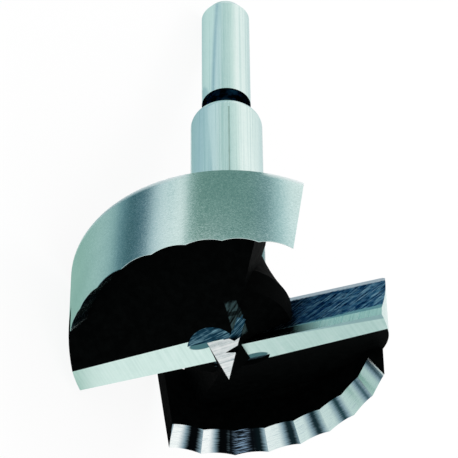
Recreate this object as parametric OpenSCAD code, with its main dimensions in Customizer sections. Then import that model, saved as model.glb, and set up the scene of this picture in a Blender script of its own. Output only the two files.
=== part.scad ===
// Forstner bit with two wavy rims, forged in one piece and ground on its working faces.
// Sizes are in millimetres. The tool is drawn on its own axis: z = 0 is the plane of the rim's
// cutting edges, the shank points to +Z, the first blade to +X, and it cuts towards -Y.
// lying() then lays the tool on the table as it comes to rest, with the origin on the shank's axis
// where the ground cylinder ends.

/* [Shank] */
// Diameter of the ground shank
shank_d = 10; // [8:0.1:12]
// Length of the ground shank, with its chamfer
shank_len = 28.6; // [22:0.1:40]
// Width of the chamfer at the shank's end
shank_chamfer = 1.4; // [0.5:0.1:2]
// Length of the chamfer along the shank
shank_chamfer_len = 2.2; // [0.8:0.1:4]
// Diameter of the dark neck below the shank
neck_d = 9.6; // [7:0.1:9.6]
// Length of the dark neck
neck_len = 4.5; // [2:0.1:8]

/* [Collar] */
// Diameter of the thick collar
collar_d = 14.5; // [12:0.1:18]
// Height above the rim at which the collar's round shoulder begins
collar_top = 60.85; // [45:0.05:75]

/* [Head] */
// Diameter over the rims
head_d = 60; // [50:0.5:70]
// Height of the head from the cutting edges to its flat top
head_h = 18.8; // [16:0.1:24]
// Chamfer around the top edge
top_chamfer = 0.5; // [0.2:0.05:1]
// Thickness of the rim's wall
rim_wall = 3; // [2:0.1:4.5]
// Height of the hollow under the web
hollow_h = 11.5; // [8:0.1:14]

/* [Hub] */
// Largest radius of the bell-shaped hub
hub_r = 12; // [10:0.1:14]
// Height at which the hub's lower cone reaches that radius
hub_low = 5.6; // [4:0.1:8]
// Height at which the hub's bell begins to draw in
hub_high = 11; // [7:0.1:12]
// Height at which the bell meets the collar
hub_top = 22.2; // [20:0.1:28]
// Depth of the bell's hollow curve
bell_sag = 0.3; // [0.2:0.05:1]

/* [Cutters] */
// Distance of each cutting edge ahead of the tool's axis
edge_ahead = 1.5; // [0.8:0.05:2.5]
// Height of the cutting edges above the rim's edge
edge_z = 0.2; // [0.1:0.05:1]
// Clearance angle of the ground flank
flank_angle = 7.5; // [4:0.5:12]
// Width of the flank at the rim
flank_out = 4.8; // [3:0.1:7]
// Width of the flank at the hub
flank_in = 5.6; // [4:0.1:9]
// Angle at which the forged back of a cutter climbs behind its flank
back_angle = 27; // [20:0.5:35]
// Rake angle of the narrow land at the cutting edge
land_angle = 8; // [0:0.5:15]
// Height of the land
land_h = 2; // [1:0.1:4]
// Rake angle of the ground face above the land
rake_angle = 30; // [20:0.5:34]

/* [Rims] */
// Angle from the blade at which a rim's cutting edge begins
rim_start = 29.5; // [24:0.5:36]
// Angle from the blade at which a rim's cutting edge ends
rim_end = 130; // [120:0.5:138]
// Lean of the rim's rear end
rim_end_lean = 8.5; // [0:0.5:14]
// How far the rim's rear end runs on past the web, in degrees
rim_tail = 17; // [8:0.5:26]
// Lean of the web's rear wall, over the throat
web_lean = 18; // [8:0.5:24]
// Number of ground flutes along one rim
flute_count = 8; // [5:1:11]
// Depth of the flutes at the cutting edge
flute_depth = 0.6; // [0.3:0.05:1]
// Angle of the ground bevel from the tool's axis
bevel_angle = 40; // [32:0.5:48]
// Rise of the cutting edge from the front to the rear of a rim
rim_relief = 0.3; // [0:0.05:0.6]

/* [Centre point] */
// How far the point stands ahead of the rim's edge
point_len = 6.4; // [4:0.1:9]
// Angle of the point's faces from the axis
point_angle = 24; // [16:0.5:28]
// How far the point's root reaches into the hub
point_root = 2.1; // [2:0.1:4]
// Distance of the notch's bottom below the rim's edge
notch_low = 1.6; // [0.8:0.1:2.5]
// Opening angle of the notch
notch_angle = 28; // [10:1:40]

/* [Grinding marks] */
// Radius of the round flat behind each flank, next to the point
flat_r = 5; // [3:0.1:7]
// Slope of that flat
flat_slope = 35; // [30:0.5:42]
// How far the flat reaches behind the flank's rear line
flat_reach = 2.4; // [0.5:0.1:3]
// Distance of the flat's middle from the axis
flat_x = 2.5; // [0:0.1:5]
// Width of the narrow scar on the hub ahead of each cutter
scar_w = 2.2; // [1:0.1:3]
// Length of the scar
scar_len = 4.4; // [2:0.1:6]
// Depth of the scar
scar_depth = 0.35; // [0.15:0.05:0.6]
// Distance of the scar's inner end from the axis
scar_r = 3.2; // [2.5:0.1:5]
// Direction of the scar, ahead of the blade
scar_turn = 54; // [40:1:60]

/* [Hidden] */
$fn = 96;

// Derived sizes
shank_r = shank_d / 2;
neck_r = neck_d / 2;
collar_r = collar_d / 2;
head_r = head_d / 2;
rim_in = head_r - rim_wall;
shoulder_r = collar_r - neck_r;
neck_z = collar_top + shoulder_r;
shank_z = neck_z + neck_len;
end_z = shank_z + shank_len;
grip_z = end_z - shank_chamfer_len;

// A block that is larger than the head, for planes that cut
far = 4 * head_r;

// The rake face starts at the top of the land
rake_y = -edge_ahead + land_h * tan(land_angle);
rake_z = edge_z + land_h;

// The flank's rear line runs from the hub to the rim at a small angle to the edge
back_slope = (flank_in - flank_out) / (head_r - hub_r);
back_turn = atan(back_slope * (1 - tan(flank_angle) / tan(back_angle)));
back_y = -edge_ahead + flank_out;
back_z = edge_z + flank_out * tan(flank_angle);

// The hub's lower cone, and the radius of the bell's hollow curve
hub_slope = atan((hub_low + edge_z) / (hub_r - edge_ahead));
bell_w = hub_r - collar_r;
bell_h = hub_top - hub_high;
bell_chord = sqrt(bell_w * bell_w + bell_h * bell_h);
bell_r = bell_chord * bell_chord / (8 * bell_sag) + bell_sag / 2;
bell_x = (hub_r + collar_r) / 2 + (bell_r - bell_sag) * bell_h / bell_chord;
bell_z = (hub_top + hub_high) / 2 + (bell_r - bell_sag) * bell_w / bell_chord;

// The row of flutes runs just past both ends of the rim, and the flutes meet in cusps at its edge
flute_lead = 0.5;
flute_step = (rim_end - rim_start + 2 * flute_lead) / flute_count;
flute_x = head_r * (1 - cos(flute_step / 2)) * cos(bevel_angle) + flute_depth * sin(bevel_angle);
flute_y = head_r * sin(flute_step / 2);
flute_r = (flute_x * flute_x + flute_y * flute_y) / (2 * flute_x);
flute_out = rim_wall;
flute_in = rim_wall / sin(bevel_angle) + flute_depth;

// The two corners of the throat that the lying tool rests on, and the lean that follows
rear_corner = rim_end + asin(head_h * tan(rim_end_lean) / head_r);
blade_corner = 180 + asin((rake_y + (head_h - rake_z) * tan(rake_angle)) / head_r);
rest_turn = (rear_corner + blade_corner) / 2;
rest_half = (blade_corner - rear_corner) / 2;
rest_drop = head_r * cos(rest_half) - shank_r;
rest_lean = atan(rest_drop / (grip_z - head_h + top_chamfer));

STEEL = [0.72, 0.78, 0.77];

// Shank, neck, collar and bell-shaped hub, turned on one axis
module stem() {
    rotate_extrude() {
        polygon([
            [0, -edge_z],
            [edge_ahead, -edge_z],
            [hub_r, hub_low],
            [hub_r, hub_high],
            [0, hub_high]
        ]);
        difference() {
            translate([0, hub_high])
                square([hub_r, bell_h + bell_sag]);
            translate([bell_x, bell_z])
                circle(r = bell_r);
        }
        translate([0, hub_high])
            square([collar_r, collar_top - hub_high]);
        translate([neck_r, collar_top])
            intersection() {
                circle(r = shoulder_r);
                square(shoulder_r);
            }
        translate([0, collar_top])
            square([neck_r, shoulder_r + neck_len]);
        polygon([
            [0, shank_z],
            [shank_r, shank_z],
            [shank_r, grip_z],
            [shank_r - shank_chamfer, end_z],
            [0, end_z]
        ]);
    }
}

// The forged disc of the head with its chamfered top
module disc() {
    cylinder(r = head_r, h = head_h - top_chamfer);
    translate([0, 0, head_h - top_chamfer])
        cylinder(r1 = head_r, r2 = head_r - top_chamfer, h = top_chamfer);
}

// Everything ahead of a plane through the X axis that leans back by angle
module ahead_of(angle) {
    rotate([-angle, 0, 0])
        translate([-far / 2, -far, -far / 2])
            cube([far, far, far]);
}

// The chip throat ahead of the first blade: between the rear end of the other half and the rake face
module throat() {
    difference() {
        intersection() {
            union() {
                translate([0, -edge_ahead, edge_z])
                    ahead_of(land_angle);
                translate([0, rake_y, rake_z])
                    ahead_of(rake_angle);
            }
            union() {
                rotate([0, 0, rim_end - 180])
                    rotate([-rim_end_lean, 0, 0])
                        translate([0, 0, -far / 2])
                            cube([far, far, far]);
                intersection() {
                    rotate([0, 0, rim_end - rim_tail - 180])
                        rotate([-web_lean, 0, 0])
                            translate([0, 0, -far / 2])
                                cube([far, far, far]);
                    translate([0, 0, -far / 2])
                        cylinder(r = rim_in, h = far);
                }
            }
        }
        translate([-far, 0, -far / 2])
            cube([far, far, far]);
    }
}

// The zone behind the first blade in which the forging is hollow: inside the rim, and under
// the gap between the blade and the front end of the rim
module behind_blade() {
    translate([0, 0, -far / 2])
        cylinder(r = rim_in, h = far);
    rotate([0, 0, rim_start])
        translate([0, -far, -far / 2])
            cube([far, far, far]);
}

// What is ground off below the flank of the first blade
module below_flank() {
    intersection() {
        behind_blade();
        translate([0, -edge_ahead, edge_z])
            rotate([flank_angle, 0, 0])
                translate([0, -far / 2, -far])
                    cube([far, far, far]);
    }
}

// The hollow that climbs behind the flank up to the underside of the web
module hollow() {
    intersection() {
        behind_blade();
        translate([head_r, back_y, back_z])
            rotate([0, 0, -back_turn])
                rotate([back_angle, 0, 0])
                    translate([-far / 2, -far / 2, -far])
                        cube([far, far, far]);
        translate([-far / 2, -far / 2, hollow_h - far])
            cube([far, far, far]);
    }
}

// One ground flute across the rim's inner bevel
module flute() {
    translate([head_r, 0, flute_depth])
        rotate([0, -bevel_angle, 0])
            translate([-flute_r, 0, -flute_out])
                cylinder(r = flute_r, h = flute_out + flute_in);
}

// The row of flutes along one rim, each a little higher than the one before it
module flutes() {
    for (k = [0 : flute_count - 1])
        translate([0, 0, rim_relief * k / flute_count])
            rotate([0, 0, rim_start - flute_lead + (k + 0.5) * flute_step])
                flute();
}

// The round flat that the wheel leaves behind the flank when it grinds the point
module flat() {
    translate([flat_x, back_y, back_z])
        rotate([flat_slope, 0, 0])
            translate([0, flat_reach / cos(flat_slope) - flat_r, -flat_r])
                cylinder(r = flat_r, h = flat_r);
}

// The narrow ground scar on the hub's lower cone
module scar() {
    rotate([0, 0, -scar_turn])
        translate([edge_ahead, 0, -edge_z])
            rotate([0, -hub_slope, 0])
                translate([(scar_r - edge_ahead) / cos(hub_slope), -scar_w / 2, -2 * scar_depth])
                    cube([scar_len, scar_w, 3 * scar_depth]);
}

// The wedge-shaped notch in the point's root, ahead of the first cutting edge
module notch() {
    translate([0, -edge_ahead, -notch_low])
        rotate([90, -notch_angle / 6, 0])
            linear_extrude(point_len)
                polygon([
                    [0, 0],
                    [point_len, -point_len * tan(notch_angle / 2)],
                    [point_len, point_len * tan(notch_angle / 2)]
                ]);
}

// The four-sided ground point, notched ahead of each cutting edge
module point() {
    point_h = point_len + point_root;
    difference() {
        rotate([0, 0, 45])
            translate([0, 0, -point_len])
                cylinder(r1 = 0, r2 = point_h * tan(point_angle) * sqrt(2), h = point_h, $fn = 4);
        for (half = [0, 180])
            rotate([0, 0, half]) {
                notch();
                scar();
            }
    }
}

// The tool on its own axis
module tool() {
    difference() {
        union() {
            disc();
            stem();
        }
        for (half = [0, 180])
            rotate([0, 0, half]) {
                difference() {
                    throat();
                    stem();
                }
                below_flank();
                hollow();
                flutes();
                flat();
                scar();
            }
    }
    point();
}

// The tool lying on two corners of a throat and on the end of its shank
module lying() {
    rotate([-90 - rest_lean, 0, 0])
        rotate([0, 0, 90 - rest_turn])
            translate([0, 0, -grip_z])
                children();
}

module forstner_bit() {
    color(STEEL)
        lying()
            tool();
}

forstner_bit();
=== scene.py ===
# %% [markdown]
# # A forstner bit with wavy rims
# This lesson dresses a wood drill that was forged in one piece. Its shank, its rims and its
# cutting faces were ground bright, and the rest of the forging was left black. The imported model
# already has the right shape and size, so it is loaded first and everything else is fitted to it.

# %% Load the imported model
import math
from types import SimpleNamespace

import bmesh
import bpy
from mathutils import Matrix, Vector


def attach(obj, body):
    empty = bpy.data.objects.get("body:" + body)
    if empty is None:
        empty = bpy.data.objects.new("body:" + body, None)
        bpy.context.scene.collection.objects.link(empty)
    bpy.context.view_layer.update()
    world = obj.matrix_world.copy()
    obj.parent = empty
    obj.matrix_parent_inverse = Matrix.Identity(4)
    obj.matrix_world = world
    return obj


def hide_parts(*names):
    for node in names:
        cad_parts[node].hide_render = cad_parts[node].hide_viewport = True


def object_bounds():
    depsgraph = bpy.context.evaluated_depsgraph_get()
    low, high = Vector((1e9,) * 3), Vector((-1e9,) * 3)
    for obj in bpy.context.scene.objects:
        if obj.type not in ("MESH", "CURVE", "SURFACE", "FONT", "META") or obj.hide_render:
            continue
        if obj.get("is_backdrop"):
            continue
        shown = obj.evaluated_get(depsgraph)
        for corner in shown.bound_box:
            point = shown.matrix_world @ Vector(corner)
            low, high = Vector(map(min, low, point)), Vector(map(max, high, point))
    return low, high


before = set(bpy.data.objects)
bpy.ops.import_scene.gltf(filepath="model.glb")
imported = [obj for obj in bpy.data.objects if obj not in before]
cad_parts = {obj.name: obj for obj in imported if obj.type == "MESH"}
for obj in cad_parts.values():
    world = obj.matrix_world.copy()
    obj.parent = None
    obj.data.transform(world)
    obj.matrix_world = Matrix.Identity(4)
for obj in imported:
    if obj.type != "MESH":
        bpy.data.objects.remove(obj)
cad_low, cad_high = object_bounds()
cad_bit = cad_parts["forstner_bit"]
print("packed model:", [round(1000 * (h - l), 1) for l, h in zip(cad_low, cad_high)], "mm")

# %% [markdown]
# ## The tool's own frame
# The tool lies on the table, but its shape and its grinding marks belong to its own axis. A
# second frame helps: its Z axis runs up the shank from the plane of the rims, and its X axis runs
# along the first blade. One matrix turns tool coordinates into table coordinates, and its inverse
# goes back. The three numbers are the lean and turn at which the tool comes to rest, and the
# distance from the rims to the origin on the shank.

# %% Tool frame
REST_LEAN = math.radians(15.37673)
REST_TURN = math.radians(165.78237)
GRIP = 0.0942

tool_turn = (
    Matrix.Rotation(-math.pi / 2 - REST_LEAN, 4, "X")
    @ Matrix.Rotation(math.pi / 2 - REST_TURN, 4, "Z")
)
tool_to_table = tool_turn @ Matrix.Translation((0, 0, -GRIP))
table_to_tool = tool_to_table.inverted()
print("the rims' centre lies at", [round(1000 * v, 1) for v in tool_to_table.translation], "mm")

# %% [markdown]
# ## Camera
# The picture is taken with a long lens, from below the cutting face. On the table that means a
# camera to the left of the head and above it, rolled so that the shank points up in the picture.
# A look-at constraint can't give that roll, so the camera's three axes are written out as the
# columns of its matrix.

# %% Camera
EYE = Vector((-0.321059, -0.363003, 0.301871))
EYE_RIGHT = Vector((0.524379, 0.218510, 0.822970))
EYE_UP = Vector((-0.593509, 0.786828, 0.169258))

camera_data = bpy.data.cameras.new("camera")
camera_data.lens = 212.067
camera_data.sensor_width = 36
camera_data.clip_start = 0.01
camera_data.clip_end = 20
camera = bpy.data.objects.new("camera", camera_data)
bpy.context.scene.collection.objects.link(camera)
axes = Matrix((EYE_RIGHT, EYE_UP, EYE_RIGHT.cross(EYE_UP))).transposed().to_4x4()
camera.matrix_world = Matrix.Translation(EYE) @ axes
bpy.context.scene.camera = camera
print("camera distance to the head:", round((EYE - tool_to_table.translation).length, 3), "m")

# %% [markdown]
# ## Small helpers for materials
# Colours are written as the hex values that a picture editor shows, and one function turns them
# into the linear values that the renderer works with. A second function sets or links the inputs
# of a node, and a third adds a node and uses it, so each material below reads as a short list. A
# node that is given as an input stands for its first output in use.

# %% Colour and node helpers
def linear(hex_colour):
    """An sRGB hex colour as linear red, green, blue and alpha."""
    parts = [int(hex_colour[i:i + 2], 16) / 255 for i in (1, 3, 5)]
    return [p / 12.92 if p <= 0.04045 else ((p + 0.055) / 1.055) ** 2.4 for p in parts] + [1.0]


def feed(tree, node, inputs):
    """Links or sets a node's inputs, by name or number. A string is a hex colour."""
    for key, value in inputs.items():
        if isinstance(value, bpy.types.Node):
            value = next(s for s in value.outputs if s.enabled)
        if isinstance(value, bpy.types.NodeSocket):
            tree.links.new(value, node.inputs[key])
        else:
            node.inputs[key].default_value = linear(value) if isinstance(value, str) else value


def add(tree, kind, inputs=None, stops=None, **settings):
    """Adds a shader node with its settings, its inputs and its colour stops."""
    made = tree.nodes.new("ShaderNode" + kind)
    for name, value in settings.items():
        setattr(made, name, value)
    feed(tree, made, inputs or {})
    if stops:
        first, last = made.color_ramp.elements
        first.position, first.color = stops[0][0], linear(stops[0][1])
        last.position, last.color = stops[-1][0], linear(stops[-1][1])
        for position, colour in stops[1:-1]:
            made.color_ramp.elements.new(position).color = linear(colour)
    return made


print("helpers ready, mid grey is", round(linear("#808080")[0], 3))

# %% [markdown]
# ## Coordinates that belong to the tool
# The finished object sits at the origin, so its Object coordinates are table coordinates. Every
# pattern on the steel follows the tool's axis instead. A Mapping node of the Texture kind undoes
# a move, a turn and a scale, so it gives tool coordinates, and its scale of a thousandth makes
# them millimetres. All sizes in the materials below can then be read off a ruler.

# %% Start of every steel material
MM = 0.001


def start_steel(name, sockets):
    """A new material with its tree, its shader and the tool's coordinates in millimetres."""
    material = bpy.data.materials.new(name)
    material.use_nodes = True
    tree = material.node_tree
    shader = tree.nodes["Principled BSDF"]
    feed(tree, shader, sockets)
    on_tool = add(tree, "Mapping", {
        "Vector": add(tree, "TexCoord").outputs["Object"],
        "Location": tool_to_table.translation,
        "Rotation": tool_turn.to_euler(),
        "Scale": (MM, MM, MM),
    }, vector_type="TEXTURE")
    return SimpleNamespace(material=material, tree=tree, shader=shader, on_tool=on_tool)


print("patterns are drawn in units of", MM, "m")

# %% [markdown]
# ## Ground steel
# The shank and collar are ground between two wheels, and the rims are ground as a ring. Either
# way the grit leaves a fine grain that runs round the axis. A noise that is longer across the
# axis than along it gives such a grain without a seam, which a wrapped pattern would have.

# %% Ground steel of the shank and the rims
CLOUD_MM = 8


def ground_steel(name, light, dark, edge, smooth, rough, grain_mm, stretch, speckle):
    """Bright steel with a grain that runs round the tool's axis."""
    steel = start_steel(name, {"Metallic": 1.0, "Specular Tint": edge})
    tree = steel.tree
    around = 1 / (stretch * grain_mm)
    ring = add(tree, "Mapping", {"Vector": steel.on_tool, "Scale": (around, around, 1 / grain_mm)})
    grain = add(tree, "TexNoise", {"Vector": ring, "Scale": 1.0, "Detail": 3.0, "Roughness": 0.6})
    cloud = add(tree, "TexNoise", {"Vector": steel.on_tool, "Scale": 1 / CLOUD_MM, "Detail": 2.0})
    even = add(tree, "Math", {0: cloud, 1: 0.3, 2: 0.35 - speckle / 2}, operation="MULTIPLY_ADD")
    both = add(tree, "Math", {0: grain, 1: speckle, 2: even}, operation="MULTIPLY_ADD")
    steel.tint = add(tree, "ValToRGB", {"Fac": both}, stops=[(0.3, dark), (0.7, light)])
    steel.shine = add(tree, "MapRange", {
        "Value": grain, "From Min": 0.3, "From Max": 0.7, "To Min": smooth, "To Max": rough})
    bump = add(tree, "Bump", {"Height": grain, "Strength": 0.12, "Distance": 0.02 * MM})
    feed(tree, steel.shader, {"Base Color": steel.tint, "Roughness": steel.shine, "Normal": bump})
    return steel


# Tool steel, centreless ground: smooth and silky, so long soft streaks of light run along the
# shank. The grain is drawn coarser than real, or it wouldn't show.
shank = ground_steel("tool_steel_centreless_ground", "#E8F5F1", "#DAECE8", "#D3E1E3",
                     smooth=0.15, rough=0.22, grain_mm=0.35, stretch=4, speckle=0.5)
# Tool steel, ring ground with a coarser wheel: a sparkling grain over broad bands of light.
# The grit marks are drawn three times too coarse, or they wouldn't show.
rim = ground_steel("tool_steel_ring_ground", "#E2F2EF", "#BAD3D0", "#F2F8F7",
                   smooth=0.16, rough=0.26, grain_mm=0.3, stretch=1.4, speckle=0.65)
print("made", shank.material.name, "and", rim.material.name)

# %% [markdown]
# ## The rims' top edge
# A pale strip along the rims' top edge is painted highlight: the light that a rounded edge there
# would catch. A mask on the height makes the steel lighter and rougher there. A stretch of each
# rim shows no highlight, and a second mask on the angle round the axis leaves it out. The two
# rims are the same after half a turn, so the angle is wrapped to half a turn.

# %% Helpers for masks round the axis
def turn_angle(tree, place):
    """The angle round the tool's axis, from -180 to 180 degrees, in radians."""
    return add(tree, "Math", {0: place["Y"], 1: place["X"]}, operation="ARCTAN2")


def half_turn_angle(tree, place):
    """The angle round the tool's axis on either half of the tool, from 0 to 180 degrees."""
    return add(tree, "Math", {0: turn_angle(tree, place), 1: math.pi, 2: 0.0}, operation="WRAP")


def apart(tree, value, middle):
    """How far a value lies from a middle, on either side."""
    gap = add(tree, "Math", {0: value, 1: middle}, operation="SUBTRACT")
    return add(tree, "Math", {0: gap}, operation="ABSOLUTE")


print("helpers for masks ready")

# %% Painted highlight along the top edge
RIM_TOP_MM = 18.8
EDGE_HIGHLIGHT_MM = 1.6
EDGE_HIGHLIGHT_ROUGHNESS = 0.65
NO_HIGHLIGHT_MIDDLE = math.radians(106.5)
NO_HIGHLIGHT_HALF = math.radians(12)

tree = rim.tree
place = add(tree, "SeparateXYZ", {"Vector": rim.on_tool}).outputs
edge_highlight = add(tree, "MapRange", {
    "Value": place["Z"],
    "From Min": RIM_TOP_MM - EDGE_HIGHLIGHT_MM, "From Max": RIM_TOP_MM - 0.35 * EDGE_HIGHLIGHT_MM,
}, interpolation_type="SMOOTHSTEP")
aside = apart(tree, half_turn_angle(tree, place), NO_HIGHLIGHT_MIDDLE)
kept = add(tree, "MapRange", {
    "Value": aside, "From Min": NO_HIGHLIGHT_HALF, "From Max": 1.3 * NO_HIGHLIGHT_HALF})
edge_highlight = add(tree, "Math", {0: edge_highlight, 1: kept}, operation="MULTIPLY")
# Painted highlight: the strip is mixed towards near white.
paler = add(tree, "Mix", {"Factor": edge_highlight, "A": rim.tint, "B": "#FAFDFD"}, data_type="RGBA")
matter = add(tree, "Mix", {
    "Factor": edge_highlight, "A": rim.shine, "B": EDGE_HIGHLIGHT_ROUGHNESS}, data_type="FLOAT")
feed(tree, rim.shader, {"Base Color": paler, "Roughness": matter})
print("stoned strip", EDGE_HIGHLIGHT_MM, "mm wide")

# %% [markdown]
# ## A drawn seam
# The collar keeps a hair-thin seam along its length, from the rolled bar that the tool was made
# of. It is a line at one angle round the axis. The angle is compared with the seam's, and a
# little noise breaks the line up. Above the collar the seam was turned away.

# %% Seam on the collar
SEAM_TURN = math.radians(-69)
SEAM_TOP_MM = 60.0
SEAM_BREAK_MM = 2.5

tree = shank.tree
place = add(tree, "SeparateXYZ", {"Vector": shank.on_tool}).outputs
beside = apart(tree, turn_angle(tree, place), SEAM_TURN)
broken = add(tree, "TexNoise", {
    "Vector": shank.on_tool, "Scale": 1 / SEAM_BREAK_MM, "Detail": 2.0})
beside = add(tree, "Math", {0: broken, 1: 0.02, 2: beside}, operation="MULTIPLY_ADD")
seam = add(tree, "MapRange", {
    "Value": beside, "From Min": 0.022, "From Max": 0.04, "To Min": 0.5, "To Max": 0.0})
below = add(tree, "Math", {0: place["Z"], 1: SEAM_TOP_MM}, operation="LESS_THAN")
seam = add(tree, "Math", {0: seam, 1: below}, operation="MULTIPLY")
print("seam at", round(math.degrees(SEAM_TURN)), "degrees")

# %% [markdown]
# ## Long streaks and painted shade
# Polishing the bar lengthwise left faint long streaks: a noise that hardly changes along the
# axis. The collar's foot gets a painted dark teal shade, where the rims shade it, which is a mask
# on the height. The streaks darken the steel, so they are multiplied. The seam and the painted
# shade are mixed over them.

# %% Streaks, seam and painted shade on the collar's foot
STREAK_MM = 0.4
FOOT_SHADE_FULL_MM, FOOT_SHADE_END_MM = 24.0, 28.0

streaks = add(tree, "Mapping", {
    "Vector": shank.on_tool, "Scale": (1 / STREAK_MM, 1 / STREAK_MM, 0.02)})
streaks = add(tree, "TexNoise", {
    "Vector": streaks, "Scale": 1.0, "Detail": 3.0, "Roughness": 0.6})
veil = add(tree, "ValToRGB", {"Fac": streaks}, stops=[(0.36, "#EAF2F2"), (0.52, "#FFFFFF")])
veiled = add(tree, "Mix", {
    "Factor": 1.0, "A": shank.tint, "B": veil}, data_type="RGBA", blend_type="MULTIPLY")
marked = add(tree, "Mix", {"Factor": seam, "A": veiled, "B": "#6E8A7C"}, data_type="RGBA")
foot_shade = add(tree, "MapRange", {
    "Value": place["Z"], "From Min": FOOT_SHADE_FULL_MM, "From Max": FOOT_SHADE_END_MM,
    "To Min": 1.0, "To Max": 0.0,
}, interpolation_type="SMOOTHSTEP")
# Painted shade: the collar's foot is mixed towards dark teal.
foot_shaded = add(tree, "Mix", {"Factor": foot_shade, "A": marked, "B": "#4C7676"}, data_type="RGBA")
feed(tree, shank.shader, {"Base Color": foot_shaded})
print("heat tint up to", FOOT_SHADE_END_MM, "mm above the rims' edge")

# %% [markdown]
# ## Faces ground flat
# A cup wheel sweeps across the cutters and leaves straight scratches that all run one way on a
# face. A noise that is squeezed across the scratches and drawn out along them gives that look.
# One Mapping node lays the noise into the face, by the face's slope, and turns it there. A second
# one stretches it, because a single Mapping node would stretch before it turns.

# %% Flat-ground steel
FLANK_DEG = 7.5
LAND_DEG = 8
RAKE_DEG = 30
WHEEL_DEG = 35
DRAWN_OUT = 0.03
MOTTLE_MM = 1.2


def flat_ground(name, colours, rough, slope_deg, turn_deg, line_mm, contrast):
    """Steel ground flat, with scratches of this width in dark, middle and light colours."""
    steel = start_steel(name, {"Metallic": 1.0})
    tree = steel.tree
    lying = (math.radians(-slope_deg), 0, math.radians(turn_deg))
    laid = add(tree, "Mapping", {"Vector": steel.on_tool, "Rotation": lying})
    drawn = add(tree, "Mapping", {
        "Vector": laid, "Scale": (1 / line_mm, DRAWN_OUT / line_mm, DRAWN_OUT / line_mm)})
    lines = add(tree, "TexNoise", {"Vector": drawn, "Scale": 1.0, "Detail": 2.0, "Roughness": 0.5})
    mottle = add(tree, "TexNoise", {
        "Vector": steel.on_tool, "Scale": 1 / MOTTLE_MM, "Detail": 3.0})
    both = add(tree, "Mix", {"Factor": 0.25, "A": lines, "B": mottle}, data_type="FLOAT")
    places = (0.5 - contrast / 2, 0.5, 0.5 + contrast / 2)
    steel.tint = add(tree, "ValToRGB", {"Fac": both}, stops=list(zip(places, colours)))
    shine = add(tree, "MapRange", {
        "Value": lines, "From Min": 0.3, "From Max": 0.7, "To Min": rough, "To Max": rough + 0.12})
    bump = add(tree, "Bump", {"Height": lines, "Strength": 0.15, "Distance": 0.02 * MM})
    feed(tree, steel.shader, {"Base Color": steel.tint, "Roughness": shine, "Normal": bump})
    return steel


print("flat faces at", (FLANK_DEG, LAND_DEG, RAKE_DEG, WHEEL_DEG), "degrees")

# %% [markdown]
# ## Five flat finishes
# The same steel looks different on each face, by the grit of the wheel and by the heat that it
# made. The scratches run across the blade on the flank and the land, and aslant on the rake. On
# all five they are drawn several times too coarse, or they wouldn't show.

# %% Flank, land, rake, wheel marks and point
# Tool steel, fine ground: a pale, nearly even face with faint lines across the blade.
flank = flat_ground("tool_steel_flat_ground", ("#C4DED8", "#D4EBE5", "#E0F2EE"),
                    rough=0.3, slope_deg=FLANK_DEG, turn_deg=8, line_mm=0.5, contrast=0.6)
# Tool steel, fine ground and then tinted by heat: the same face, a shade darker and bluer.
land = flat_ground("tool_steel_heat_tinted", ("#93BDB8", "#B2D6CF", "#C8E4DE"),
                   rough=0.25, slope_deg=90 - LAND_DEG, turn_deg=10, line_mm=0.4, contrast=0.5)
# Tool steel, coarse ground and blued by heat: dark navy with bright scratches.
rake = flat_ground("tool_steel_coarse_ground_blued", ("#082233", "#3C7490", "#BED9E4"),
                   rough=0.3, slope_deg=90 - RAKE_DEG, turn_deg=25, line_mm=0.13, contrast=0.32)
# Blued steel stays dark at a low angle too, so its edge tint is dark.
feed(rake.tree, rake.shader, {"Specular Tint": "#4A6A7E"})
# Tool steel, touched by the wheel's corner: the same scratches, finer.
wheel = flat_ground("tool_steel_wheel_mark", ("#071620", "#173B4E", "#6F98A6"),
                    rough=0.3, slope_deg=WHEEL_DEG, turn_deg=94, line_mm=0.1, contrast=0.36)
# Tool steel, fine ground by hand: almost white, with lines across the point.
point = flat_ground("tool_steel_hand_ground", ("#A9B5B8", "#E4EAEA", "#FFFFFF"),
                    rough=0.25, slope_deg=90, turn_deg=85, line_mm=0.3, contrast=0.4)
print("made", [steel.material.name for steel in (flank, land, rake, wheel, point)])

# %% [markdown]
# ## Where the grinding of the land stops
# The wheel that makes the land reaches the hub and stops there, so the land's inner end keeps the
# black scale of the forging. The ground part next to it gets painted shade towards the hub. Masks
# on the distance along the blade mix these, with a ragged border from a noise. A few scratches run
# along the land's lower edge.

# %% Ragged inner end of the land
GROUND_FROM_MM, GROUND_FULL_MM = 13.4, 14.6
HUB_SHADE_FROM_MM, HUB_SHADE_END_MM = 13.0, 19.0
SCRATCH_LONG_MM, SCRATCH_WIDE_MM = 0.9, 0.2


def ragged(steel, value, lump_mm, depth):
    """A value with a noise added, so that a border drawn by it becomes ragged."""
    lumps = add(steel.tree, "TexNoise", {
        "Vector": steel.on_tool, "Scale": 1 / lump_mm, "Detail": 3.0})
    return add(steel.tree, "Math", {0: lumps, 1: depth, 2: value}, operation="MULTIPLY_ADD")


tree = land.tree
place = add(tree, "SeparateXYZ", {"Vector": land.on_tool}).outputs
along = add(tree, "Math", {0: place["X"]}, operation="ABSOLUTE")
ground = add(tree, "MapRange", {
    "Value": ragged(land, along, 0.6, 1.6),
    "From Min": GROUND_FROM_MM, "From Max": GROUND_FULL_MM,
}, interpolation_type="SMOOTHSTEP")
# Painted shade: the land darkens towards the hub.
hub_shade = add(tree, "MapRange", {
    "Value": along, "From Min": HUB_SHADE_FROM_MM, "From Max": HUB_SHADE_END_MM,
    "To Min": 0.85, "To Max": 0.0})
hub_shaded = add(tree, "Mix", {"Factor": hub_shade, "A": land.tint, "B": "#356866"}, data_type="RGBA")
faded = add(tree, "Mix", {"Factor": ground, "A": "#050708", "B": hub_shaded}, data_type="RGBA")
print("the land is ground from", GROUND_FROM_MM, "mm outwards")

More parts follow.
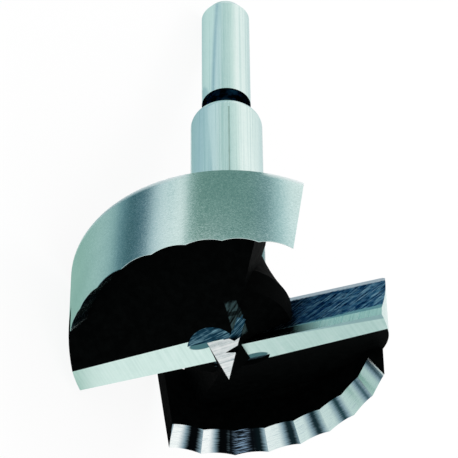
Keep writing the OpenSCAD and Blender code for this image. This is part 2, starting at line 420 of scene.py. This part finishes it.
# %% Scratches along the land's edge
fine = add(tree, "Mapping", {
    "Vector": land.on_tool,
    "Scale": (1 / SCRATCH_LONG_MM, 1 / SCRATCH_WIDE_MM, 1 / SCRATCH_WIDE_MM)})
fine = add(tree, "TexNoise", {"Vector": fine, "Scale": 1.0, "Detail": 4.0, "Roughness": 0.7})
scratch = add(tree, "MapRange", {
    "Value": fine, "From Min": 0.52, "From Max": 0.62, "To Max": 0.6})
lowest = add(tree, "MapRange", {
    "Value": place["Z"], "From Min": 0.7, "From Max": 1.3, "To Min": 1.0, "To Max": 0.0})
scratch = add(tree, "Math", {0: scratch, 1: lowest}, operation="MULTIPLY")
scraped = add(tree, "Mix", {"Factor": scratch, "A": faded, "B": "#A8BEBC"}, data_type="RGBA")
feed(tree, land.shader, {"Base Color": scraped})
print("scratches", SCRATCH_WIDE_MM, "mm wide on the land")

# %% [markdown]
# ## Borders of the rake
# The pale strip under the rake's top edge is a painted highlight along that edge. The land's
# wheel ran over the rake's foot, and left a strip that widens outwards. Both are masks on the
# height, with the same ragged border as on the land. Towards the hub the rake gets painted shade:
# a grey ramp along the blade is multiplied in.
# forging kept its heat there: a grey ramp along the blade is multiplied in.

# %% Strips and shade on the rake
STRIP_FROM_MM, STRIP_FULL_MM = 17.3, 17.9
SHADE_FROM_MM, SHADE_END_MM = 12.0, 27.0
FOOT_FULL_MM, FOOT_END_MM = 1.75, 2.1
FOOT_RISE = 0.09

tree = rake.tree
place = add(tree, "SeparateXYZ", {"Vector": rake.on_tool}).outputs
border = ragged(rake, place["Z"], 0.5, 1.2)
# The pale top strip is a painted highlight.
strip = add(tree, "MapRange", {
    "Value": border, "From Min": STRIP_FROM_MM, "From Max": STRIP_FULL_MM,
}, interpolation_type="SMOOTHSTEP")
along = add(tree, "Math", {0: place["X"]}, operation="ABSOLUTE")
# Painted shade: the rake is darker towards the hub.
shaded = add(tree, "MapRange", {
    "Value": along, "From Min": SHADE_FROM_MM, "From Max": SHADE_END_MM})
shade = add(tree, "ValToRGB", {"Fac": shaded}, stops=[
    (0.0, "#8C8C8C"), (0.15, "#C4C4C4"), (0.6, "#ECECEC"), (1.0, "#FFFFFF")])
rake_hub_shaded = add(tree, "Mix", {
    "Factor": 1.0, "A": rake.tint, "B": shade}, data_type="RGBA", blend_type="MULTIPLY")
edged = add(tree, "Mix", {"Factor": strip, "A": rake_hub_shaded, "B": "#E3EAEE"}, data_type="RGBA")
rising = add(tree, "Math", {0: along, 1: -FOOT_RISE, 2: border}, operation="MULTIPLY_ADD")
foot = add(tree, "MapRange", {
    "Value": rising, "From Min": FOOT_FULL_MM, "From Max": FOOT_END_MM,
    "To Min": 1.0, "To Max": 0.0})
footed = add(tree, "Mix", {"Factor": foot, "A": edged, "B": "#9CC2C4"}, data_type="RGBA")
feed(tree, rake.shader, {"Base Color": footed})
print("the rake's pale strip starts near", STRIP_FROM_MM, "mm")

# %% [markdown]
# ## Marks on the flanks
# The wheel that cut the flat behind the point also touched each flank's heel, and left a small
# dark crescent there. Along the first cutter's edge a narrow second bevel widens outwards; the
# mesh doesn't have it, so its look is painted as a bluish strip of shade. Both marks are masks on
# the place along and across the blade. The second half of the tool is turned to the first by the
# sign of X.

# %% Crescents
CRESCENT_MM = (4.4, 2.9, 0)
CRESCENT_HALF_MM = (2.4, 0.9, 1)

tree = flank.tree
place = add(tree, "SeparateXYZ", {"Vector": flank.on_tool}).outputs
side = add(tree, "Math", {0: place["X"]}, operation="SIGN")
along = add(tree, "Math", {0: place["X"]}, operation="ABSOLUTE")
behind = add(tree, "Math", {0: place["Y"], 1: side}, operation="MULTIPLY")
spot = add(tree, "Mapping", {
    "Vector": add(tree, "CombineXYZ", {"X": along, "Y": behind}),
    "Location": CRESCENT_MM, "Scale": CRESCENT_HALF_MM,
}, vector_type="TEXTURE")
reach = add(tree, "VectorMath", {0: spot}, operation="LENGTH")
crescent = add(tree, "MapRange", {
    "Value": reach, "From Min": 0.9, "From Max": 1.05, "To Min": 1.0, "To Max": 0.0})
touched = add(tree, "Mix", {"Factor": crescent, "A": flank.tint, "B": "#4A747A"}, data_type="RGBA")
print("crescents at", CRESCENT_MM[0], "mm from the axis")

# %% Painted shade of a narrow second bevel
SECOND_BEVEL_FROM_MM, SECOND_BEVEL_END_MM = 9.0, 30.0

second_bevel_to = add(tree, "MapRange", {
    "Value": place["X"], "From Min": SECOND_BEVEL_FROM_MM, "From Max": SECOND_BEVEL_END_MM,
    "To Min": -1.6, "To Max": -0.1,
}, clamp=False)
inside = add(tree, "Math", {0: second_bevel_to, 1: behind}, operation="SUBTRACT")
painted_edge_shading = add(tree, "MapRange", {
    "Value": inside, "From Min": -0.15, "From Max": 0.25, "To Max": 0.75,
}, interpolation_type="SMOOTHSTEP")
# Painted shade: a bluish strip stands for the second bevel.
painted_edge_shading = add(tree, "Mix", {"Factor": painted_edge_shading, "A": touched, "B": "#8FB2B8"}, data_type="RGBA")
feed(tree, flank.shader, {"Base Color": painted_edge_shading})
print("honed strip up to", SECOND_BEVEL_END_MM, "mm from the axis")

# %% [markdown]
# ## The fluted bevels
# Each wave of the rim is a shallow flute, cut by the corner of a wheel. The place across a flute
# follows from the angle round the axis, counted in flutes. Fine rings, as the wheel leaves them,
# are a noise in the radius that hardly changes round the axis. They are drawn coarser than real.

# %% Place on the fluted bevels
RIM_START = math.radians(29.0)
FLUTE_STEP = math.radians(101.5 / 8)
RING_MM = 0.13

# Tool steel, polished in the flutes: bright as a mirror, with dark bands of painted reflection
# that have a soft border.
flute = start_steel("tool_steel_polished_flute", {"Metallic": 1.0, "Roughness": 0.2})
tree = flute.tree
place = add(tree, "SeparateXYZ", {"Vector": flute.on_tool}).outputs
count = add(tree, "Math", {
    0: half_turn_angle(tree, place), 1: 1 / FLUTE_STEP, 2: -RIM_START / FLUTE_STEP,
}, operation="MULTIPLY_ADD")
square = add(tree, "Math", {0: place["X"], 1: 2.0}, operation="POWER")
square = add(tree, "Math", {0: place["Y"], 1: place["Y"], 2: square}, operation="MULTIPLY_ADD")
radius = add(tree, "Math", {0: square}, operation="SQRT")
ring = add(tree, "Mapping", {
    "Vector": add(tree, "CombineXYZ", {"X": radius, "Y": count}), "Scale": (1 / RING_MM, 2.5, 1)})
rings = add(tree, "TexNoise", {
    "Vector": ring, "Scale": 1.0, "Detail": 3.0, "Roughness": 0.6}, noise_dimensions="2D")
print("flutes of", round(math.degrees(FLUTE_STEP), 2), "degrees")

# %% [markdown]
# ## Painted reflections in the flutes
# A dark band of painted reflection lies beside each ridge, darker and broader towards the rear of
# the rim, while the steel between grows paler. A random number for each flute moves its band a
# little, and the rings draw its border out. From the band's middle outwards the colour goes from
# dark reflection through mist to clear steel.

# %% Bands
REAR_FROM, REAR_FULL = 1.0, 6.0

number = add(tree, "Math", {0: count}, operation="FLOOR")
across = add(tree, "Math", {0: count}, operation="FRACT")
chance = add(tree, "TexWhiteNoise", {"W": number}, noise_dimensions="1D")
middle = add(tree, "MapRange", {"Value": chance, "To Min": 0.2, "To Max": 0.36})
away = apart(tree, across, middle)
away = add(tree, "Math", {0: rings, 1: 0.16, 2: away}, operation="MULTIPLY_ADD")
rearward = add(tree, "MapRange", {"Value": count, "From Min": REAR_FROM, "From Max": REAR_FULL})
away = add(tree, "Math", {0: rearward, 1: -0.13, 2: away}, operation="MULTIPLY_ADD")
dim, bright = [
    add(tree, "MapRange", {
        "Value": away, "From Min": start, "From Max": end}, interpolation_type="SMOOTHSTEP")
    for start, end in ((0.05, 0.24), (0.16, 0.42))
]
# Painted reflection: the dark colour of the bands beside each ridge.
dark_reflection = add(tree, "ValToRGB", {"Fac": rearward}, stops=[
    (0.0, "#2F545E"), (0.5, "#16292F"), (1.0, "#040608")])
clear = add(tree, "ValToRGB", {"Fac": rearward}, stops=[
    (0.0, "#A9C8C2"), (0.6, "#CFE2E0"), (1.0, "#F2F8F7")])
lined = add(tree, "MapRange", {"Value": rings, "From Min": 0.5, "From Max": 0.75, "To Max": 0.6})
ringed = add(tree, "Mix", {"Factor": lined, "A": clear, "B": "#9DB3BD"}, data_type="RGBA")
misty = add(tree, "Mix", {"Factor": dim, "A": dark_reflection, "B": "#7D98A4"}, data_type="RGBA")
banded = add(tree, "Mix", {"Factor": bright, "A": misty, "B": ringed}, data_type="RGBA")
print("bands grow from flute", REAR_FROM, "to flute", REAR_FULL)

# %% [markdown]
# ## A broad dark reflection and a highlighted edge
# Near the rear of the rim two bands of painted reflection run into one, with a few bluish rings in
# its core. The first edge of each rim gets a painted highlight: a white line. Both are masks on
# the count of flutes.

# %% Broad dark reflection and first edge
DARKEST_AT = 5.78
LEAD_END = 0.13

darkest_reach = apart(tree, count, DARKEST_AT)
core = add(tree, "MapRange", {
    "Value": darkest_reach, "From Min": 0.12, "From Max": 0.34, "To Min": 1.0, "To Max": 0.0,
}, interpolation_type="SMOOTHSTEP")
darkest_reach = add(tree, "Math", {0: rings, 1: 0.12, 2: darkest_reach}, operation="MULTIPLY_ADD")
darkest_reach = add(tree, "MapRange", {
    "Value": darkest_reach, "From Min": 0.42, "From Max": 0.6, "To Min": 1.0, "To Max": 0.0})
thin = add(tree, "MapRange", {"Value": rings, "From Min": 0.45, "From Max": 0.7})
thin = add(tree, "Math", {0: thin, 1: core}, operation="MULTIPLY")
dusky = add(tree, "Mix", {"Factor": thin, "A": "#070B0F", "B": "#7F9BB4"}, data_type="RGBA")
darkest_banded = add(tree, "Mix", {"Factor": darkest_reach, "A": banded, "B": dusky}, data_type="RGBA")
# Painted highlight: the first edge is mixed to white.
lead = add(tree, "Math", {0: count, 1: LEAD_END}, operation="LESS_THAN")
painted_edge_shading = add(tree, "Mix", {"Factor": lead, "A": darkest_banded, "B": "#F4F9F9"}, data_type="RGBA")
feed(tree, flute.shader, {"Base Color": painted_edge_shading})
print("made", flute.material.name, "with a dwell at flute", DARKEST_AT)

# %% [markdown]
# ## Black forging
# Forged faces keep their black scale: matt, almost without gloss, with a slightly uneven skin. A
# plain dark colour would look like a hole in the picture, so a lumpy bump lets a little light
# play on it. The neck was turned before hardening and carries a smoother, bluish black.

# %% Black forged skin
def black_skin(name, sockets, deep, worn, rough, lump_mm):
    """Black oxide on steel: very dark, faintly lumpy, duller on the lumps."""
    steel = start_steel(name, sockets)
    tree = steel.tree
    lumps = add(tree, "TexNoise", {
        "Vector": steel.on_tool, "Scale": 1 / lump_mm, "Detail": 4.0, "Roughness": 0.6})
    steel.tint = add(tree, "ValToRGB", {"Fac": lumps}, stops=[(0.4, deep), (0.8, worn)])
    shine = add(tree, "MapRange", {
        "Value": lumps, "From Min": 0.3, "From Max": 0.7, "To Min": rough, "To Max": rough + 0.2})
    bump = add(tree, "Bump", {"Height": lumps, "Strength": 0.3, "Distance": 0.2 * MM})
    feed(tree, steel.shader, {"Base Color": steel.tint, "Roughness": shine, "Normal": bump})
    return steel


# Forging scale: soot black and dull, so the eye reads the outline first.
scale = black_skin("steel_forging_scale", {"Specular IOR Level": 0.007},
                   "#020303", "#070909", rough=0.6, lump_mm=1.5)
# Blued steel: black with a deep blue sheen.
neck = black_skin("steel_blued", {
    "Metallic": 1.0, "Specular IOR Level": 0.5, "Specular Tint": "#24465A",
}, "#03060A", "#1B3A4E", rough=0.25, lump_mm=2.5)
print("made", scale.material.name, "and", neck.material.name)

# %% [markdown]
# ## A rub mark
# The wheel's corner also brushed the slope beside the point and left a strip of short scratches
# through the scale. They are a stretched noise inside a box-shaped mask with a ragged border, and
# a second mask leaves a gap in the strip. A third keeps the mark off the faces higher up. The
# scratches are drawn coarser than real, or they wouldn't show.

# %% Outline of the rub mark
RUB_MM = (3.4, -6.3, 0)
RUB_HALF_MM = (1.25, 3.7, 1)
RUB_TOP_MM = 5.0

tree = scale.tree
moved = add(tree, "Mapping", {
    "Vector": scale.on_tool, "Location": RUB_MM, "Scale": RUB_HALF_MM}, vector_type="TEXTURE")
place = add(tree, "SeparateXYZ", {"Vector": moved}).outputs
aside = add(tree, "Math", {0: place["X"]}, operation="ABSOLUTE")
back = add(tree, "Math", {0: place["Y"]}, operation="ABSOLUTE")
reach = add(tree, "Math", {0: aside, 1: back}, operation="MAXIMUM")
inside = add(tree, "MapRange", {
    "Value": ragged(scale, reach, 0.5, 0.3),
    "From Min": 1.0, "From Max": 1.15, "To Min": 1.0, "To Max": 0.0})
low = add(tree, "Math", {0: place["Z"], 1: RUB_TOP_MM}, operation="LESS_THAN")
gap = add(tree, "Math", {0: place["Y"], 1: -0.38, 2: 0.1}, operation="COMPARE")
left = add(tree, "Math", {0: gap, 1: -0.8, 2: 1.0}, operation="MULTIPLY_ADD")
print("rub mark", 2 * RUB_HALF_MM[1], "mm long")

# %% Scratches in the rub mark
RUB_LINE_MM = 0.25
RUB_TURN = math.radians(-45)

laid = add(tree, "Mapping", {"Vector": scale.on_tool, "Rotation": (0, 0, RUB_TURN)})
drawn = add(tree, "Mapping", {"Vector": laid, "Scale": (1 / RUB_LINE_MM, 0.3, 0.3)})
lines = add(tree, "TexNoise", {"Vector": drawn, "Scale": 1.0, "Detail": 2.0})
rub = add(tree, "MapRange", {"Value": lines, "From Min": 0.38, "From Max": 0.62})
for mask in (inside, low, left):
    rub = add(tree, "Math", {0: rub, 1: mask}, operation="MULTIPLY")
rubbed = add(tree, "Mix", {"Factor": rub, "A": scale.tint, "B": "#34484A"}, data_type="RGBA")
feed(tree, scale.shader, {"Base Color": rubbed})
print("scratches", RUB_LINE_MM, "mm wide in the rub mark")

# %% [markdown]
# ## The bit
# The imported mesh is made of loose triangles. A copy of it is merged, and triangles that lie in
# one plane are joined to a single face, so that each ground face can be found by its slope.

# %% Copy and merge the mesh
bm = bmesh.new()
bm.from_mesh(cad_bit.data)
bmesh.ops.remove_doubles(bm, verts=bm.verts, dist=1e-7)
bmesh.ops.dissolve_limit(bm, angle_limit=math.radians(0.3), verts=bm.verts, edges=bm.edges)
print("merged copy:", len(bm.verts), "vertices,", len(bm.faces), "faces")

# %% [markdown]
# ## Sort the faces
# A face's finish follows from where it is on the tool and which way it looks. The two halves of
# the head are the same after half a turn, so a face on the second half is turned to the first
# before it is judged. The slopes are those of the cutter: its flank, land, rake and wheel marks.

# %% Slopes of the ground faces
HUB_RUN_MM, HUB_DROP_MM = 10.5, 5.8
SCAR_TURN = math.radians(-54)

steels = [scale, shank, rim, flank, land, rake, wheel, point, flute, neck]


def downwards(angle_deg):
    """The look of a face along the blade that faces down and, by this angle, backwards."""
    return Vector((0, math.sin(math.radians(angle_deg)), -math.cos(math.radians(angle_deg))))


def forwards(angle_deg):
    """The look of a face along the blade that faces forwards and, by this angle, up."""
    return Vector((0, -math.cos(math.radians(angle_deg)), math.sin(math.radians(angle_deg))))


hub_slope = math.atan(HUB_DROP_MM / HUB_RUN_MM)
scar_look = Vector((
    math.sin(hub_slope) * math.cos(SCAR_TURN),
    math.sin(hub_slope) * math.sin(SCAR_TURN),
    -math.cos(hub_slope),
))
ground_faces = [
    (downwards(FLANK_DEG), flank),
    (forwards(LAND_DEG), land),
    (forwards(RAKE_DEG), rake),
    (downwards(WHEEL_DEG), wheel),
    (scar_look, wheel),
]
print("the hub slopes by", round(math.degrees(hub_slope), 1), "degrees")

# %% Finish of each face
NECK_TOP_MM, NECK_FOOT_MM, COLLAR_FOOT_MM = 67.85, 63.25, 22.3
WALL_MM, BEVEL_MM, BEVEL_TOP_MM = 29.2, 26, 5
POINT_MM, POINT_TOP_MM = 5, 2
SAME_LOOK = 0.99999


def finish_of(face):
    """The finish of a face, from where it is on the tool and which way it looks."""
    spot = 1000 * (table_to_tool @ face.calc_center_median())
    look = table_to_tool.to_3x3() @ face.normal
    if spot.x < 0:
        spot.x, spot.y, look.x, look.y = -spot.x, -spot.y, -look.x, -look.y
    radius = math.hypot(spot.x, spot.y)
    outward = (look.x * spot.x + look.y * spot.y) / max(radius, 1e-6)
    if spot.z > NECK_TOP_MM:
        return shank
    if spot.z > NECK_FOOT_MM:
        return neck
    if spot.z > COLLAR_FOOT_MM:
        return shank
    if radius > WALL_MM and outward > 0.5:
        return shank if look.z > 0.3 else rim
    for ground_look, steel in ground_faces:
        if look.dot(ground_look) > SAME_LOOK:
            return steel
    if radius > BEVEL_MM and spot.z < BEVEL_TOP_MM and look.z < -0.3 and outward < -0.3:
        return flute
    if radius < POINT_MM and spot.z < POINT_TOP_MM and abs(look.y) > 0.85 and look.z < -0.3:
        return point
    return scale


for face in bm.faces:
    face.material_index = steels.index(finish_of(face))
    face.smooth = True
for number, steel in enumerate(steels):
    print(steel.material.name, sum(f.material_index == number for f in bm.faces), "faces")

# %% [markdown]
# ## Broken edges
# No ground edge is perfectly sharp. Where the rim's wall meets the flutes the stone has broken
# the edge, which shows as a thin light line. Only these long edges are bevelled, because the tiny
# edges round the point would overlap.

# %% Bevel the rims' edges
BROKEN_MM = 0.15

wall_and_flute = {steels.index(rim), steels.index(flute)}
rim_edges = [
    edge for edge in bm.edges
    if {face.material_index for face in edge.link_faces} == wall_and_flute
]
rounded = set(bmesh.ops.bevel(
    bm, geom=rim_edges, offset=BROKEN_MM * MM, offset_type="OFFSET", segments=2, profile=0.5,
    affect="EDGES", material=-1, clamp_overlap=False,
)["faces"])
print(len(rim_edges), "edges broken,", len(rounded), "faces made")

# %% [markdown]
# ## Sharp and smooth edges
# Curved walls should shade smoothly while ground edges stay crisp. So an edge is sharp where two
# finishes meet, along the border of a broken edge, or where the faces turn by more than 22
# degrees.

# %% Mark the sharp edges
SHARP_TURN = math.radians(22)

for edge in bm.edges:
    one, other = edge.link_faces
    alike = one.material_index == other.material_index and (one in rounded) == (other in rounded)
    edge.smooth = alike and edge.calc_face_angle() < SHARP_TURN
print(sum(not edge.smooth for edge in bm.edges), "sharp edges")

# %% [markdown]
# ## The finished mesh
# The object rides on the tool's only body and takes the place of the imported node.

# %% Write the mesh
mesh = bpy.data.meshes.new("bit")
bm.to_mesh(mesh)
bm.free()
for steel in steels:
    mesh.materials.append(steel.material)
bit = bpy.data.objects.new("bit", mesh)
bpy.context.scene.collection.objects.link(bit)
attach(bit, "root")
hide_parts("forstner_bit")
print("bit:", len(mesh.polygons), "faces")

# %% [markdown]
# ## Floor
# The tool lies on a white table. The table is a large grid at the tool's lowest point. The camera
# and the steel see it as nearly white, through the Light Path node, while other rays meet matt
# paper, so that a faint shadow stays under the tool.

# %% Floor
FLOOR_HALF = 6

floor_mesh = bpy.data.meshes.new("floor")
bm = bmesh.new()
bmesh.ops.create_grid(bm, x_segments=1, y_segments=1, size=FLOOR_HALF)
bmesh.ops.translate(bm, verts=bm.verts, vec=(0, 0, cad_low.z))
bm.to_mesh(floor_mesh)
bm.free()
floor = bpy.data.objects.new("floor", floor_mesh)
bpy.context.scene.collection.objects.link(floor)
floor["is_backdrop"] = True
print("floor at", round(1000 * cad_low.z, 2), "mm")

# %% Paper on the floor
GLOW_SHARE = 0.9

# White paper: matt and even.
paper = bpy.data.materials.new("paper_white_matt")
paper.use_nodes = True
tree = paper.node_tree
matt = tree.nodes["Principled BSDF"]
feed(tree, matt, {"Base Color": "#F2F2F2", "Roughness": 0.9, "Specular IOR Level": 0.0})
rays = add(tree, "LightPath").outputs
seen = add(tree, "Math", {0: rays["Is Camera Ray"], 1: rays["Is Glossy Ray"]}, operation="MAXIMUM")
seen = add(tree, "Math", {0: seen, 1: rays["Is Transmission Ray"]}, operation="MAXIMUM")
share = add(tree, "Math", {0: seen, 1: GLOW_SHARE}, operation="MULTIPLY")
glow = add(tree, "Emission", {"Color": "#FFFFFF", "Strength": 1.0})
mixed = add(tree, "MixShader", {"Fac": share, 1: matt, 2: glow})
feed(tree, tree.nodes["Material Output"], {"Surface": mixed})
floor_mesh.materials.append(paper)
print("made", paper.name, "with a glow of", GLOW_SHARE)

# %% [markdown]
# ## Room and lamp
# A white room lights the tool evenly from all sides, as a tent of white cloth would. One weak
# softbox behind the tool gives its shadow a direction. Reflections don't see the lamp, because
# the cards of the next step draw all bands on the steel.

# %% Room and lamp
world = bpy.data.worlds.new("white_room")
bpy.context.scene.world = world
world.use_nodes = True
feed(world.node_tree, world.node_tree.nodes["Background"], {"Color": "#FFFFFF", "Strength": 1.0})

lamp_data = bpy.data.lights.new("softbox", "AREA")
lamp_data.shape = "SQUARE"
lamp_data.size = 0.5
lamp_data.energy = 3
lamp = bpy.data.objects.new("softbox", lamp_data)
lamp.location = (0.5, 0.5, 0.8)
to_head = Vector((0, -0.06, 0)) - lamp.location
lamp.rotation_euler = to_head.to_track_quat("-Z", "Y").to_euler()
lamp.visible_glossy = False
bpy.context.scene.collection.objects.link(lamp)
print("one softbox of", lamp_data.energy, "W")

# %% [markdown]
# ## Cards for the reflections
# Bright metal has hardly any colour of its own: it shows the room. A photographer therefore sets
# dark and grey cards round it, and each card gives one of the soft bands on the rim and the
# shank. A graded card gives a band with soft borders. The cards here are seen by reflections
# only, so they neither show in the picture nor shade the table.

# %% A graded card
def card(name, corners_mm, *stops):
    """A card for reflections only, graded along the table's X axis by (x in mm, colour)."""
    card_mesh = bpy.data.meshes.new(name)
    sheet = bmesh.new()
    sheet.faces.new([sheet.verts.new([v / 1000 for v in corner]) for corner in corners_mm])
    sheet.to_mesh(card_mesh)
    sheet.free()
    paint = bpy.data.materials.new(name + "_paint")
    paint.use_nodes = True
    tree = paint.node_tree
    tree.nodes.remove(tree.nodes["Principled BSDF"])
    start, end = stops[0][0], stops[-1][0]
    across = add(tree, "SeparateXYZ", {"Vector": add(tree, "TexCoord").outputs["Object"]})
    part = add(tree, "MapRange", {
        "Value": across, "From Min": start / 1000, "From Max": end / 1000})
    grade = add(tree, "ValToRGB", {"Fac": part}, stops=[
        ((x - start) / (end - start), colour) for x, colour in stops])
    plain = add(tree, "Emission", {"Color": grade, "Strength": 1.0})
    feed(tree, tree.nodes["Material Output"], {"Surface": plain})
    card_mesh.materials.append(paint)
    made = bpy.data.objects.new(name, card_mesh)
    bpy.context.scene.collection.objects.link(made)
    made.visible_camera = made.visible_diffuse = False
    made.visible_shadow = made.visible_transmission = False
    made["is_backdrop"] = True


def level(x, y, z):
    """The four corners of a level card, from its ends along X and Y and its height."""
    return [(x[0], y[0], z), (x[1], y[0], z), (x[1], y[1], z), (x[0], y[1], z)]


print("cards can be set")

# %% [markdown]
# ## Cards on the table
# These lie just above the table, under and beside the tool. Most give the bands on the rim's
# wall, the collar and the shank as the picture shows them.

# %% Cards on the table
ON_TABLE_MM = -4.6

card("rim_table", level((-110, -38), (-120, -18), ON_TABLE_MM),
     (-110, "#FFFFFF"), (-80, "#E8F0F4"), (-70, "#C3D5DE"), (-62, "#5A7D8D"),
     (-48, "#3C636D"), (-42, "#7195A0"), (-38, "#A5C1C3"))
card("rim_front_table", level((-38, 0), (-120, -60), ON_TABLE_MM),
     (-38, "#A5C1C3"), (-32, "#B0CAC8"), (-22, "#A3C3BA"), (0, "#98BBB0"))
card("collar_table", level((-38, 0), (-60, -18), ON_TABLE_MM),
     (-38, "#A9C5D0"), (-25, "#B9D2D8"), (-12, "#B0CAD4"), (0, "#BAD3D6"))
card("shank_table", level((-110, 0), (-18, 60), ON_TABLE_MM),
     (-110, "#D4E3E6"), (-70, "#D0E0E4"), (-45, "#CFE1E6"), (-22, "#CDE0E6"),
     (-18, "#A3BECB"), (-15, "#A3BECB"), (-12, "#D4E7E8"), (0, "#DCECEB"))
card("back_table", level((-420, 0), (60, 510), ON_TABLE_MM),
     (-420, "#C6DADA"), (-100, "#C6DADC"), (0, "#D4E4E6"))
card("right_table", level((95, 240), (-250, -140), ON_TABLE_MM),
     (95, "#A9C2BE"), (150, "#B9D0D0"), (240, "#C8DDDE"))
print("cards on the table set")

# %% [markdown]
# ## Standing and hanging cards
# Two cards stand beside and behind the head, for the picture's view. Two more, at the right and
# overhead, give the steel some form when it is seen from other sides.

# %% Standing and hanging cards
TOP_CARD_MM = 520

card("near_card", [(-71, -58, 23), (-70, -16, 18), (-22, 3, 93), (-23, -39, 99)],
     (-71, "#A4BFBB"), (-66, "#6F928A"), (-48, "#6F928D"), (-42, "#76969A"),
     (-36, "#B4CED2"), (-31, "#E4F0F2"), (-22, "#FFFFFF"))
card("far_card", [(-410, 287, -4), (-44, 498, -4), (-44, 498, 280), (-410, 287, 280)],
     (-410, "#BCD2D2"), (-280, "#C4D9D9"), (-150, "#E0EDEB"), (-44, "#FFFFFF"))
card("right_card", [(240, -420, 0), (400, 160, 0), (400, 160, 190), (240, -420, 190)],
     (240, "#E6EEEE"), (290, "#829B9B"), (340, "#9DB3B3"), (400, "#F2F6F6"))
card("top_card", level((190, 480), (-380, 330), TOP_CARD_MM),
     (190, "#FFFFFF"), (290, "#7B9494"), (360, "#7B9494"), (480, "#FFFFFF"))
print("standing and hanging cards set")

# %% [markdown]
# ## Finish
# The Standard view shows a colour as it is written.

# %% Finish
bpy.context.scene.view_settings.view_transform = "Standard"
low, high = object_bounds()
print("visual model:", [round(1000 * (h - l), 1) for l, h in zip(low, high)], "mm")
